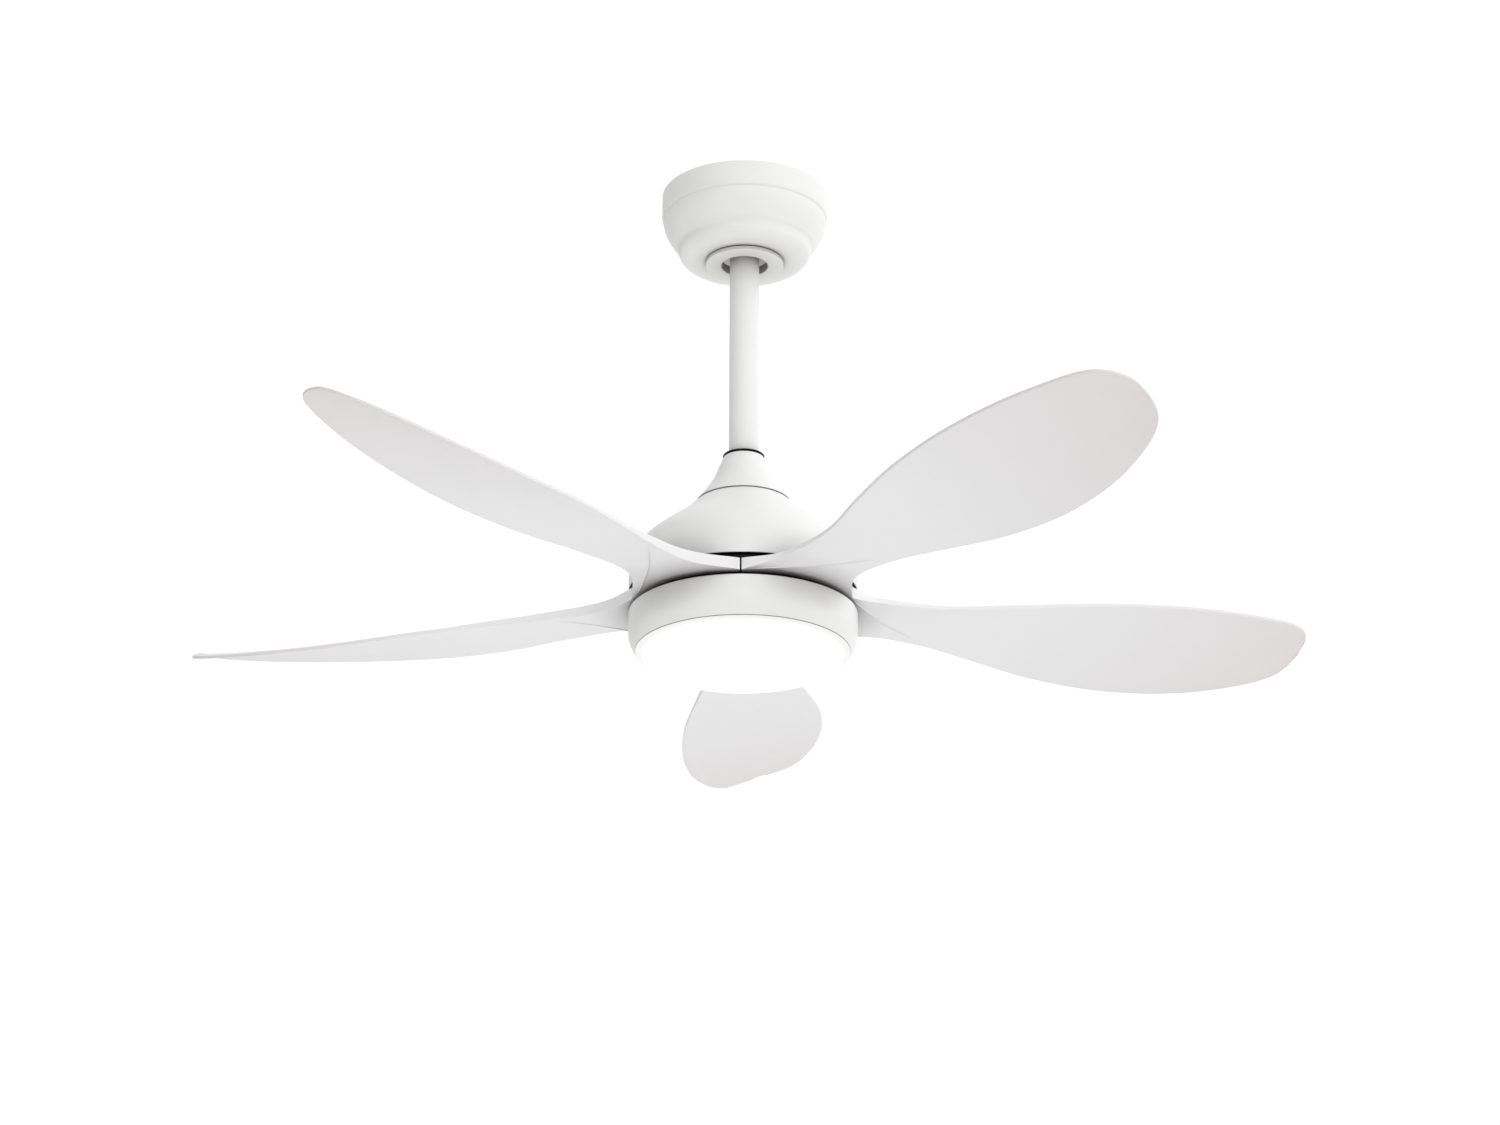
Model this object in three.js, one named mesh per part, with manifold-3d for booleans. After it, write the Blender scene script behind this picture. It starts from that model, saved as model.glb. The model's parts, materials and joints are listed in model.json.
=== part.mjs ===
// Ceiling fan with five blades and a round LED light.
// Millimetres, +Z up. The origin is on the ceiling, on the fan's axis; everything hangs below it.
// The blades turn anticlockwise seen from above when the spin angle grows.

import * as THREE from "three";
import { mergeVertices } from "three/addons/utils/BufferGeometryUtils.js";
import Module from "manifold-3d";

const wasm = await Module();
wasm.setup();

// ---- driving dimensions --------------------------------------------------------------------------

const GAP = 0.3;                    // gap kept between pieces that touch
const TURN = 2 * Math.PI;
const BIG_SEGMENTS = 32;            // sides of the large turned shells
const MID_SEGMENTS = 18;
const SMALL_SEGMENTS = 16;
const SCREW_SEGMENTS = 8;

const ROD_RADIUS = 13.35;           // three-quarter-inch pipe
const ROD_BORE = 11.2;
const ROD_TOP = -18;
const ROD_BOTTOM = -291;

const CANOPY_RADIUS = 75.5;
const CANOPY_BOTTOM = -64.7;
const CANOPY_WALL = 1.2;
const CANOPY_HOLE = 23.5;
const CANOPY_SCREW_X = 29;
const TRIM_RADIUS = 35.4;
const TRIM_HOLE = 21;
const TRIM_BOTTOM = -69.4;

const BALL_RADIUS = 24;
const BALL_CENTRE = -36;            // height of the ball, where the fan swings
const BALL_TOP = -20;
const BALL_BOTTOM = -54;
const CROSS_PIN_HEIGHT = -26;
const PIN_RADIUS = 3;

const BRACKET_SHEET = 2.2;
const BRACKET_HALF_SPAN = 34;       // from the axis to each arm's outer face
const BRACKET_HALF_WIDTH = 17;
const CRADLE_HEIGHT = -40;          // top of the sheet that carries the ball's cup

const CLEVIS_HEIGHT = -282;
const COLLAR_TOP = -268;
const COLLAR_RADIUS = 18.5;
const COLLAR_FLANGE_RADIUS = 34;

const COVER_TOP = -259.1;
const COVER_TOP_RADIUS = 18.3;
const COVER_BOTTOM = -302.9;
const COVER_BOTTOM_RADIUS = 41.8;
const HOUSING_RADIUS = 100.5;
const HOUSING_RIM = -388.2;
const SHELL_WALL = 1.8;

const SHAFT_RADIUS = 8.4;
const SHAFT_BORE = 5.5;
const SHAFT_TOP = -292;
const SHAFT_BOTTOM = -419;
const BEARING_RADIUS = 20;
const BEARING_WIDTH = 12;
const UPPER_BEARING_TOP = -334;
const LOWER_BEARING_TOP = -378.5;

const STATOR_RADIUS = 66;
const STATOR_TOP = -350;
const STATOR_BOTTOM = -374;
const STATOR_SLOTS = 12;
const SLOT_INNER = 36;
const SLOT_OUTER = 60;
const SLOT_WIDTH = 12;
const ROTOR_WALL = 75;              // outer radius of the motor's drum
const ROTOR_JOINT = -362;           // where the drum's two halves meet
const ROTOR_UNDERSIDE = -393.3;
const ROTOR_FLANGE_RADIUS = 99.5;
const ROTOR_SHEET = 3;

const BLADE_COUNT = 5;
const BLADE_PITCH = TURN / BLADE_COUNT;
const FIRST_BLADE_ANGLE = THREE.MathUtils.degToRad(-55.24);
const BLADE_DATUM = -408.7;         // blade heights are counted from the lamp body's top
const BLADE_ROOT_INNER = 48;
const BLADE_ROOT_RADIUS = 100.3;
const BLADE_ROOT_UNDERSIDE = 4.4;
const BLADE_ROOT_TOP = 15.1;
const BLADE_SEAM = 1.5;             // open joint between neighbouring blade roots
const BLADE_SCREW_RADIUS = 72;
const BLADE_SCREW_SPREAD = THREE.MathUtils.degToRad(18);
const COUNTERBORE_RADIUS = 5;
const COUNTERBORE_DEPTH = 5;

const LAMP_RADIUS = 100.5;
const LAMP_TOP = -408.7;
const LAMP_BOTTOM = -442.7;
const LAMP_MOUTH = 94.1;
const LAMP_FLOOR_HOLE = 16;
const LIGHT_PLATE_RADIUS = 96;
const LIGHT_PLATE_RISE = 3.7;       // height of the plate's raised outer part above its low face
const PAN_SCREW_RADIUS = 32;
const BOSS_RADIUS = 70;
const BOARD_TOP = -432;
const BOARD_RADIUS = 82;
const NECK_OUTER = 90.2;            // the diffuser's neck, inside the lamp body's lip
const LUG_COUNT = 3;
const LUG_SWEEP = THREE.MathUtils.degToRad(14);
const LUG_RELEASE = THREE.MathUtils.degToRad(20);

// ---- materials -----------------------------------------------------------------------------------

function finish(colour, roughness, metalness) {
  return new THREE.MeshStandardMaterial({ color: colour, roughness, metalness });
}

const WHITE_PAINT = finish(0xf0f0ee, 0.42, 0);
const WHITE_PLASTIC = finish(0xefeff0, 0.45, 0);
const BLADE_PLASTIC = finish(0xecebed, 0.48, 0);
const OPAL = finish(0xfffdf6, 0.35, 0);
const BLACK_PLASTIC = finish(0x141414, 0.5, 0);
const BLACK_METAL = finish(0x1b1b1c, 0.45, 0.3);
const ZINC_STEEL = finish(0xb9bcc0, 0.35, 0.9);
const GREY_STEEL = finish(0x6d7074, 0.4, 0.9);
const CAST_METAL = finish(0x8f9296, 0.5, 0.8);
const COPPER = finish(0xb36a3a, 0.35, 0.9);
const FERRITE = finish(0x2f2e30, 0.7, 0.1);
const BOARD_WHITE = finish(0xf4f4f0, 0.5, 0);
const GREEN_SCREW = finish(0x2f7a45, 0.4, 0.6);

// ---- solids --------------------------------------------------------------------------------------

// A closed solid from a geometry: its shared corners are merged, collapsed triangles are dropped,
// and its faces are turned outwards.
function solid(geometry) {
  geometry.deleteAttribute("normal");
  geometry.deleteAttribute("uv");
  const merged = mergeVertices(geometry, 1e-4);
  const points = merged.attributes.position.array;
  const corners = merged.index.array;
  const triangles = [];
  for (let i = 0; i < corners.length; i += 3) {
    const [a, b, c] = corners.slice(i, i + 3);
    if (a !== b && b !== c && c !== a) triangles.push(a, b, c);
  }
  const corner = (index) => new THREE.Vector3().fromArray(points, 3 * index);
  let volume = 0;
  for (let i = 0; i < triangles.length; i += 3) {
    const [a, b, c] = triangles.slice(i, i + 3).map(corner);
    volume += a.dot(b.cross(c));
  }
  if (volume < 0) triangles.reverse();
  return new wasm.Manifold(new wasm.Mesh({
    numProp: 3,
    vertProperties: Float32Array.from(points),
    triVerts: Uint32Array.from(triangles),
  }));
}

function geometryOf(body) {
  const mesh = body.getMesh();
  const geometry = new THREE.BufferGeometry();
  geometry.setAttribute("position", new THREE.BufferAttribute(mesh.vertProperties, 3));
  geometry.setIndex(new THREE.BufferAttribute(mesh.triVerts, 1));
  geometry.computeVertexNormals();
  return geometry;
}

// A solid turned about the fan's axis, from a profile of [radius, height] points.
// A profile off the axis is closed here.
function turned(profile, segments = MID_SEGMENTS) {
  const points = profile.map(([radius, height]) => new THREE.Vector2(radius, height));
  if (profile[0][0] > 0) points.push(points[0].clone());
  return solid(new THREE.LatheGeometry(points, segments).rotateX(Math.PI / 2));
}

function disc(radius, low, high, segments = MID_SEGMENTS) {
  return turned([[0, low], [radius, low], [radius, high], [0, high]], segments);
}

function tube(outer, inner, low, high, segments = MID_SEGMENTS) {
  return turned([[inner, low], [outer, low], [outer, high], [inner, high]], segments);
}

function block(x, y, z) {
  const box = new THREE.BoxGeometry(x[1] - x[0], y[1] - y[0], z[1] - z[0]);
  return solid(box.translate((x[0] + x[1]) / 2, (y[0] + y[1]) / 2, (z[0] + z[1]) / 2));
}

// A round bar along X, Y or Z, about its middle point.
function bar(radius, length, along, middle, segments = SCREW_SEGMENTS) {
  const geometry = new THREE.CylinderGeometry(radius, radius, length, segments);
  if (along === "x") geometry.rotateZ(Math.PI / 2);
  if (along === "z") geometry.rotateX(Math.PI / 2);
  return solid(geometry.translate(...middle));
}

function join(...bodies) {
  return bodies.reduce((whole, body) => whole.add(body));
}

function cut(body, ...tools) {
  return tools.reduce((whole, tool) => whole.subtract(tool), body);
}

// The profile of a thin turned shell: an outer line, and a coarser copy of it set in by the wall.
function shellProfile(outer, wall) {
  const last = outer.length - 1;
  const inner = outer.map((point, i) => {
    const before = new THREE.Vector2(...outer[Math.max(i - 1, 0)]);
    const after = new THREE.Vector2(...outer[Math.min(i + 1, last)]);
    const along = after.sub(before).normalize();
    return [point[0] + along.y * wall, point[1] - along.x * wall];
  });
  const coarse = inner.filter((_, i) => i % 2 === 0 || i >= last - 1 || i === 1);
  return [...outer, ...coarse.reverse()];
}

// Points at even angles around the axis.
function ring(count, radius, start = 0) {
  return Array.from({ length: count }, (_, i) => {
    const angle = start + (i * TURN) / count;
    return { x: radius * Math.cos(angle), y: radius * Math.sin(angle), angle };
  });
}

// A pan-head screw whose head's underside is at height zero, with its thread pointing up.
function screwUp(thread, length, headRadius, headHeight) {
  return turned([
    [0, -headHeight], [headRadius * 0.75, -headHeight], [headRadius, 0], [thread, 0], [thread, length],
    [0, length],
  ], SCREW_SEGMENTS);
}

const fan = new THREE.Group();

function place(name, geometry, material, at = {}) {
  const mesh = new THREE.Mesh(geometry, material);
  mesh.name = name;
  mesh.position.set(at.x ?? 0, at.y ?? 0, at.z ?? 0);
  mesh.rotation.set(at.tilt ?? 0, at.yaw ?? 0, at.angle ?? 0);
  fan.add(mesh);
}

function add(name, body, material, at) {
  place(name, geometryOf(body), material, at);
}

// ---- ceiling mount: bracket, canopy, trim ring, receiver -------------------------------------------

const CRADLE_LOW = CRADLE_HEIGHT - BRACKET_SHEET;
const FOOT_LOW = CANOPY_BOTTOM + CANOPY_WALL + GAP;

function hangerBracket() {
  const halfWidth = [-BRACKET_HALF_WIDTH, BRACKET_HALF_WIDTH];
  const top = block([-55, 55], halfWidth, [-BRACKET_SHEET, 0]);
  const wing = block([-16, 16], [BRACKET_HALF_WIDTH - 1, 44], [-BRACKET_SHEET, 0]);
  const slots = [-44.5, 44.5].map((x) => block([x - 6, x + 6], [-2.6, 2.6], [-3, 1]));
  const arms = [-1, 1].map((side) => {
    const faces = [side * BRACKET_HALF_SPAN, side * (BRACKET_HALF_SPAN - BRACKET_SHEET)];
    faces.sort((a, b) => a - b);
    return block(faces, halfWidth, [CRADLE_LOW, -1]);
  });
  const legs = [-1, 1].map((side) => {
    const legFaces = [side * BRACKET_HALF_SPAN, side * (BRACKET_HALF_SPAN - BRACKET_SHEET)];
    const footFaces = [side * BRACKET_HALF_SPAN, side * (CANOPY_HOLE + 1)];
    const leg = block(legFaces.sort((a, b) => a - b), [-6, 6], [FOOT_LOW, CRADLE_LOW + 1]);
    const foot = block(footFaces.sort((a, b) => a - b), [-6, 6], [FOOT_LOW, FOOT_LOW + 2]);
    return join(leg, foot);
  });
  const cradle = block([-BRACKET_HALF_SPAN, BRACKET_HALF_SPAN], [-28, 28], [CRADLE_LOW, CRADLE_HEIGHT]);
  const cup = disc(28.5, -46, -33, MID_SEGMENTS);
  const seat = new THREE.SphereGeometry(BALL_RADIUS + GAP, MID_SEGMENTS, 14).rotateX(Math.PI / 2);
  const key = bar(2.4, 4.6, "y", [0, BALL_RADIUS - 1.4, BALL_CENTRE]);
  const mouth = block([-ROD_RADIUS - 1.2, ROD_RADIUS + 1.2], [-40, 0], [-60, -30]);
  const body = cut(
    join(top, wing, ...arms, ...legs, cradle, cup),
    solid(seat.translate(0, 0, BALL_CENTRE)), mouth, ...slots,
    bar(2.3, 20, "z", [CANOPY_SCREW_X, 0, FOOT_LOW]), bar(2.3, 20, "z", [-CANOPY_SCREW_X, 0, FOOT_LOW]),
    bar(2.3, 10, "x", [-BRACKET_HALF_SPAN, 0, -20]), bar(2.3, 10, "z", [0, 39, 0]),
  );
  return join(body, key);
}

// The canopy's wall, from the ceiling rim down to the hole in its floor.
const CANOPY_OUTLINE = [
  [CANOPY_RADIUS, 0], [CANOPY_RADIUS, -21.5], [74.3, -24.4], [73.6, -30], [70.4, -36.6], [66.2, -45],
  [61.2, -51.4], [60.2, -55.4], [56, -61.8], [50, CANOPY_BOTTOM], [CANOPY_HOLE, CANOPY_BOTTOM],
];

function canopy() {
  const shell = turned(shellProfile(CANOPY_OUTLINE, CANOPY_WALL), BIG_SEGMENTS);
  const holes = [-1, 1].map((side) => bar(2.4, 10, "z", [side * CANOPY_SCREW_X, 0, CANOPY_BOTTOM]));
  return cut(shell, ...holes);
}

function canopyTrimRing() {
  const top = CANOPY_BOTTOM - GAP;
  return turned([
    [TRIM_HOLE, top + 4], [CANOPY_HOLE - GAP, top + 4], [CANOPY_HOLE - GAP, top], [24.6, top],
    [24.6, top - 2.9], [33.8, top - 2.9], [33.8, top], [TRIM_RADIUS, top], [TRIM_RADIUS, TRIM_BOTTOM + 0.9],
    [TRIM_RADIUS - 0.9, TRIM_BOTTOM], [TRIM_HOLE + 0.9, TRIM_BOTTOM], [TRIM_HOLE, TRIM_BOTTOM + 0.9],
  ], MID_SEGMENTS);
}

add("hanger_bracket", hangerBracket(), ZINC_STEEL);
add("canopy", canopy(), WHITE_PAINT);
add("canopy_trim_ring", canopyTrimRing(), WHITE_PLASTIC);

const canopyScrew = geometryOf(screwUp(2, 8, 3.8, 2.4));
place("canopy_screw_1", canopyScrew, ZINC_STEEL, { x: CANOPY_SCREW_X, z: CANOPY_BOTTOM - GAP });
place("canopy_screw_2", canopyScrew, ZINC_STEEL, { x: -CANOPY_SCREW_X, z: CANOPY_BOTTOM - GAP });

const groundScrew = geometryOf(screwUp(2, 7, 4, 2.4));
place("ground_screw", groundScrew, GREEN_SCREW,
  { x: -BRACKET_HALF_SPAN - GAP, z: -20, yaw: Math.PI / 2 });

add("remote_receiver", join(
  block([-29, 29], [-15, 15], [-13, -2.6]),
  block([-24, 24], [-16, 16], [-11, -4]),
), BLACK_PLASTIC);

function terminalBlock() {
  const body = block([-15, 15], [25, 43], [-13, -2.6]);
  const wells = [-10, 10].map((x) => bar(2.2, 8, "z", [x, 34, -13]));
  return cut(body, ...wells, bar(2.6, 20, "z", [0, 39, -9]));
}
add("terminal_block", terminalBlock(), WHITE_PLASTIC);

// ---- hanger: ball, downrod and what fastens them -----------------------------------------------------

function hangerBall() {
  const sphere = new THREE.SphereGeometry(BALL_RADIUS, MID_SEGMENTS, 14).rotateX(Math.PI / 2);
  const wide = [-40, 40];
  const pinSlot = PIN_RADIUS + GAP;
  return cut(
    solid(sphere.translate(0, 0, BALL_CENTRE)),
    block(wide, wide, [BALL_TOP, BALL_TOP + 20]),
    block(wide, wide, [BALL_BOTTOM - 20, BALL_BOTTOM]),
    bar(ROD_RADIUS + GAP, 60, "z", [0, 0, BALL_CENTRE], SMALL_SEGMENTS),
    block([-22, 22], [-pinSlot, pinSlot], [CROSS_PIN_HEIGHT - pinSlot, 0]),
    block([-3, 3], [BALL_RADIUS - 4.2, BALL_RADIUS + 1], [BALL_BOTTOM, BALL_TOP]),
    bar(2.6, 14, "y", [0, -19, -46]),
  );
}

function downrod() {
  return cut(
    tube(ROD_RADIUS, ROD_BORE, ROD_BOTTOM, ROD_TOP, MID_SEGMENTS),
    bar(PIN_RADIUS + GAP, 40, "x", [0, 0, CROSS_PIN_HEIGHT]),
    bar(PIN_RADIUS + GAP, 40, "x", [0, 0, CLEVIS_HEIGHT]),
  );
}

// The supply lead runs down the rod beside the two pins, through the hollow shaft to the lamp driver.
function leadCable() {
  const beside = 6.2;
  const route = new THREE.CatmullRomCurve3([
    [beside, ROD_TOP + 2], [beside, -90], [beside, -180], [beside, CLEVIS_HEIGHT - 2],
    [1.5, SHAFT_TOP - 1], [0, -300], [0, -350], [0, SHAFT_BOTTOM + 2], [-4, -423], [-11, -424.5],
    [-17, -424.5],
  ].map(([y, z]) => new THREE.Vector3(0, y, z)));
  const section = new THREE.Shape().absarc(0, 0, 2.6, 0, TURN);
  return solid(new THREE.ExtrudeGeometry(section, {
    steps: 44, curveSegments: 3, bevelEnabled: false, extrudePath: route,
  }));
}

add("hanger_ball", hangerBall(), BLACK_PLASTIC);
add("ball_cross_pin", bar(PIN_RADIUS, 40, "x", [0, 0, CROSS_PIN_HEIGHT]), ZINC_STEEL);
add("ball_set_screw", bar(2.3, 6.5, "y", [0, -ROD_RADIUS - GAP - 3.4, -46]), GREY_STEEL);
add("downrod", downrod(), WHITE_PAINT);
add("lead_cable", leadCable(), WHITE_PLASTIC);
add("rod_seal", tube(COVER_TOP_RADIUS + 0.3, ROD_RADIUS + GAP, COVER_TOP + GAP, COVER_TOP + 2.4),
  BLACK_PLASTIC);

// ---- motor top: collar, covers -----------------------------------------------------------------------

function motorCollar() {
  const flangeTop = COVER_BOTTOM + 3;
  const body = turned([
    [SHAFT_RADIUS + GAP, COVER_BOTTOM], [COLLAR_FLANGE_RADIUS, COVER_BOTTOM],
    [COLLAR_FLANGE_RADIUS, flangeTop],
    [COLLAR_RADIUS + 2, flangeTop], [COLLAR_RADIUS, flangeTop + 3], [COLLAR_RADIUS, COLLAR_TOP],
    [ROD_RADIUS + GAP, COLLAR_TOP], [ROD_RADIUS + GAP, ROD_BOTTOM - GAP],
    [SHAFT_RADIUS + GAP, ROD_BOTTOM - GAP],
  ]);
  return cut(
    body,
    bar(PIN_RADIUS + GAP, 60, "x", [0, 0, CLEVIS_HEIGHT]),
    bar(2.6, 60, "y", [0, 0, -296.5]),
    ...ring(3, 26, Math.PI / 2).map(({ x, y }) => bar(2.4, 12, "z", [x, y, COVER_BOTTOM])),
  );
}

function clevisPin() {
  const pin = bar(PIN_RADIUS, 43, "x", [1, 0, CLEVIS_HEIGHT]);
  const head = bar(4.6, 2, "x", [-COLLAR_RADIUS - GAP - 1, 0, CLEVIS_HEIGHT]);
  return cut(join(pin, head), bar(1.2, 10, "z", [COLLAR_RADIUS + 2.3, 0, CLEVIS_HEIGHT], 8));
}

function cotterPin() {
  const x = COLLAR_RADIUS + 2.3;
  const route = new THREE.CatmullRomCurve3([
    [x, -6], [x, 0], [x, 5], [x + 1.6, 7.6], [x + 4.2, 7], [x + 4.6, 4.4], [x + 4.2, 1.6],
  ].map(([along, down]) => new THREE.Vector3(along, 0, CLEVIS_HEIGHT - down)));
  const section = new THREE.Shape().absarc(0, 0, 0.75, 0, TURN);
  return solid(new THREE.ExtrudeGeometry(section, {
    steps: 14, curveSegments: 3, bevelEnabled: false, extrudePath: route,
  }));
}

function couplingCover() {
  const outline = [
    [ROD_RADIUS + 0.6, COVER_TOP], [COVER_TOP_RADIUS - 0.6, COVER_TOP], [COVER_TOP_RADIUS, COVER_TOP - 0.8],
    [22, -268.7], [27.8, -282.3], [35, -293.7], [COVER_BOTTOM_RADIUS, COVER_BOTTOM + 1.3],
    [COVER_BOTTOM_RADIUS, COVER_BOTTOM + GAP],
  ];
  return turned(shellProfile(outline, SHELL_WALL), BIG_SEGMENTS);
}

// The motor housing flares out below the coupling cover, then turns down into a short straight wall.
const HOUSING_OUTLINE = [
  [SHAFT_RADIUS + 4, COVER_BOTTOM - GAP], [COVER_BOTTOM_RADIUS, COVER_BOTTOM - GAP], [51.4, -312.9],
  [66, -324.7], [82, -336.9], [90.4, -344.8], [96, -353.2], [99.4, -364.6], [HOUSING_RADIUS, -377],
  [HOUSING_RADIUS, HOUSING_RIM],
];

function motorHousing() {
  const shell = turned(shellProfile(HOUSING_OUTLINE, SHELL_WALL), BIG_SEGMENTS);
  return cut(shell, ...ring(3, 26, Math.PI / 2).map(({ x, y }) => bar(2.3, 12, "z", [x, y, -304])));
}

add("motor_collar", motorCollar(), CAST_METAL);
add("clevis_pin", clevisPin(), ZINC_STEEL);
add("cotter_pin", cotterPin(), ZINC_STEEL);
for (const [i, side] of [1, -1].entries()) {
  const middle = (SHAFT_RADIUS + COLLAR_RADIUS) / 2;
  add(`collar_set_screw_${i + 1}`, bar(2.3, 8, "y", [0, side * middle, -296.5]), GREY_STEEL);
}
const housingScrew = geometryOf(screwUp(2, 7, 4, 2.4));
for (const [i, { x, y }] of ring(3, 26, Math.PI / 2).entries()) {
  place(`housing_screw_${i + 1}`, housingScrew, ZINC_STEEL,
    { x, y, z: COVER_BOTTOM + 3 + GAP, tilt: Math.PI });
}
add("coupling_cover", couplingCover(), WHITE_PAINT);
add("motor_housing", motorHousing(), WHITE_PAINT);

// ---- motor: shaft, bearings, stator ------------------------------------------------------------------

function bearing(top) {
  const bottom = top - BEARING_WIDTH;
  const inner = SHAFT_RADIUS + GAP;
  return turned([
    [inner, bottom], [12, bottom], [13, bottom + 1], [16, bottom + 1], [BEARING_RADIUS, bottom],
    [BEARING_RADIUS, top], [16, top - 1], [13, top - 1], [12, top], [inner, top],
  ], SMALL_SEGMENTS);
}

function inSlots(cutter) {
  return ring(STATOR_SLOTS, 0).map(({ angle }) => cutter.rotate([0, 0, THREE.MathUtils.radToDeg(angle)]));
}

function statorCore() {
  const slot = join(
    block([SLOT_INNER, SLOT_OUTER], [-SLOT_WIDTH / 2, SLOT_WIDTH / 2], [STATOR_BOTTOM - 1, STATOR_TOP + 1]),
    block([SLOT_OUTER - 1, STATOR_RADIUS + 1], [-1.6, 1.6], [STATOR_BOTTOM - 1, STATOR_TOP + 1]),
  );
  return cut(tube(STATOR_RADIUS, SHAFT_RADIUS + GAP, STATOR_BOTTOM, STATOR_TOP, 24), ...inSlots(slot));
}

// The copper winding: two rings of coil ends joined by the bundles that lie in the stator's slots.
function statorWinding() {
  const inner = SLOT_INNER + GAP;
  const outer = SLOT_OUTER - GAP;
  const end = (face, up) => turned([
    [inner, face + up * GAP], [outer, face + up * GAP], [outer, face + up * 3], [outer - 3, face + up * 4.4],
    [inner + 3, face + up * 4.4], [inner, face + up * 3],
  ], 24);
  const half = SLOT_WIDTH / 2 - GAP;
  const bundle = block([inner, outer], [-half, half], [STATOR_BOTTOM - 1, STATOR_TOP + 1]);
  return join(end(STATOR_TOP, 1), end(STATOR_BOTTOM, -1), ...inSlots(bundle));
}

add("motor_shaft", tube(SHAFT_RADIUS, SHAFT_BORE, SHAFT_BOTTOM, SHAFT_TOP, SMALL_SEGMENTS), GREY_STEEL);
add("upper_bearing", bearing(UPPER_BEARING_TOP), ZINC_STEEL);
add("lower_bearing", bearing(LOWER_BEARING_TOP), ZINC_STEEL);
add("stator_core", statorCore(), GREY_STEEL);
add("stator_winding", statorWinding(), COPPER);

// ---- rotor: drum, magnets, blades ---------------------------------------------------------------------

function rotorUpperShell() {
  const seat = BEARING_RADIUS + GAP;
  const sheet = UPPER_BEARING_TOP - 3;
  return turned([
    [seat, UPPER_BEARING_TOP], [seat, UPPER_BEARING_TOP - BEARING_WIDTH],
    [24, UPPER_BEARING_TOP - BEARING_WIDTH],
    [24, sheet - ROTOR_SHEET], [68, sheet - ROTOR_SHEET], [ROTOR_WALL - 3, sheet - 6],
    [ROTOR_WALL - 3, ROTOR_JOINT + GAP], [80, ROTOR_JOINT + GAP], [80, ROTOR_JOINT + 2.3],
    [ROTOR_WALL, ROTOR_JOINT + 2.3], [ROTOR_WALL, sheet - 5], [70, sheet], [24, sheet],
    [23, UPPER_BEARING_TOP],
  ], 24);
}

function rotorLowerShell() {
  const seat = BEARING_RADIUS + GAP;
  const sheet = ROTOR_UNDERSIDE + ROTOR_SHEET;
  const body = turned([
    [seat, ROTOR_UNDERSIDE], [ROTOR_FLANGE_RADIUS, ROTOR_UNDERSIDE], [ROTOR_FLANGE_RADIUS, sheet],
    [ROTOR_WALL, sheet], [ROTOR_WALL, ROTOR_JOINT - 2], [80, ROTOR_JOINT - 2], [80, ROTOR_JOINT],
    [ROTOR_WALL - 3, ROTOR_JOINT], [ROTOR_WALL - 3, sheet], [24, sheet], [24, LOWER_BEARING_TOP],
    [seat, LOWER_BEARING_TOP],
  ], 24);
  return cut(body, ...bladeScrewPlaces().map(({ x, y }) => bar(2.3, 12, "z", [x, y, sheet])));
}

function bladeAngles() {
  return ring(BLADE_COUNT, 1, FIRST_BLADE_ANGLE).map(({ angle }) => angle);
}

function bladeScrewPlaces() {
  return bladeAngles().flatMap((angle) => [-1, 1].map((side) => {
    const at = angle + side * BLADE_SCREW_SPREAD;
    return { x: BLADE_SCREW_RADIUS * Math.cos(at), y: BLADE_SCREW_RADIUS * Math.sin(at) };
  }));
}

add("rotor_upper_shell", rotorUpperShell(), BLACK_METAL);
add("rotor_lower_shell", rotorLowerShell(), BLACK_METAL);
add("magnet_ring", tube(ROTOR_WALL - 3 - GAP, STATOR_RADIUS + 1.2, STATOR_BOTTOM, STATOR_TOP, 24), FERRITE);

// A blade in its own frame: X outwards along the blade, Y towards the trailing edge, Z up from the
// lamp body's top. Both edges are followed on the underside, from the root corner to the tip.
function seamPoint(radius, side) {
  const along = BLADE_PITCH / 2;
  return [
    radius * Math.cos(along) + (BLADE_SEAM / 2) * Math.sin(along),
    side * (radius * Math.sin(along) - (BLADE_SEAM / 2) * Math.cos(along)),
    BLADE_ROOT_UNDERSIDE,
  ];
}

const BLADE_EDGE = [
  seamPoint(BLADE_ROOT_RADIUS, -1),
  [115, -36, 12], [176, -37.5, 12.2], [241, -54.5, 14.6], [309, -67, 19.5], [386, -68.5, 25.4],
  [468, -56, 30.1], [522, -34.5, 30.8], [533.6, -6, 25.2], [521.5, 27.7, 10.6], [457, 54, -3.3],
  [372, 65.2, -9.2], [293, 61.5, -6.1], [229, 48, -0.2], [174, 35.6, 4.3], [120, 34.2, 5.9],
  seamPoint(BLADE_ROOT_RADIUS, 1),
];

// Thickness against distance from the axis, at the leading edge, mid-chord and at the trailing edge.
// The root itself has a flat top, which the upper surface leaves between the two distances of its end.
const THICKNESS = {
  leading: [[100, 8], [125, 5], [160, 3.5], [525, 2.4]],
  middle: [[100, 8], [125, 6.5], [180, 5], [260, 4.6], [525, 2.4]],
  trailing: [[100, 11], [150, 8.5], [200, 6], [260, 3.8], [525, 2.4]],
};
const ROOT_TOP_END = [100, 130];
const CAMBER = 0.035;               // rise of the middle, as a share of the chord

// The underside has a crease: from the leading root corner it crosses the blade to the trailing edge.
// Outboard of it lies the pitched blade, inboard the flatter skirt that runs out from the hub.
const CREASE_SHARE = [[81, 0.06], [105, 0.17], [137, 0.46], [170, 0.72], [214, 0.94]];   // of the chord
const CREASE_HEIGHT = [[81, 4.4], [105, 4.2], [137, 3.7], [170, 2.7], [214, 1.2]];
const CREASE_END = 214;

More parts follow.
